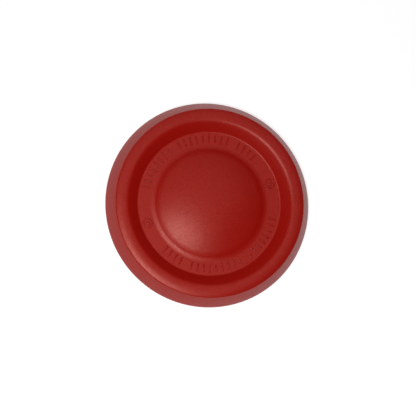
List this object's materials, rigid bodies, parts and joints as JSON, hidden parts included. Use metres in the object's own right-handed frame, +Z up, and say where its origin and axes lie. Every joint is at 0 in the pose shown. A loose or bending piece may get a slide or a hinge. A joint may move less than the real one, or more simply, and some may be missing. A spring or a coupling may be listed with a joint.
{
  "type": "flying disc",
  "caption": "Round flying disc in one piece of red moulded foam, with a domed centre, a flat ring of raised grip ribs, a crowned rim and a flared outer skirt.",
  "frame": {"origin": "centre of the foot's plane, under the middle of the dome", "axes": "+Z up along the disc's axis, from the foot to the dome; +X to the picture's right and +Y to its top"},
  "size_m": [0.2286, 0.2286, 0.0275],
  "materials": {
    "red_foam": "soft matte closed-cell foam with a fine moulded grain and a faint satin sheen"
  },
  "bodies": {
    "root": {"foam_disc": "red_foam"}
  },
  "joints": []
}
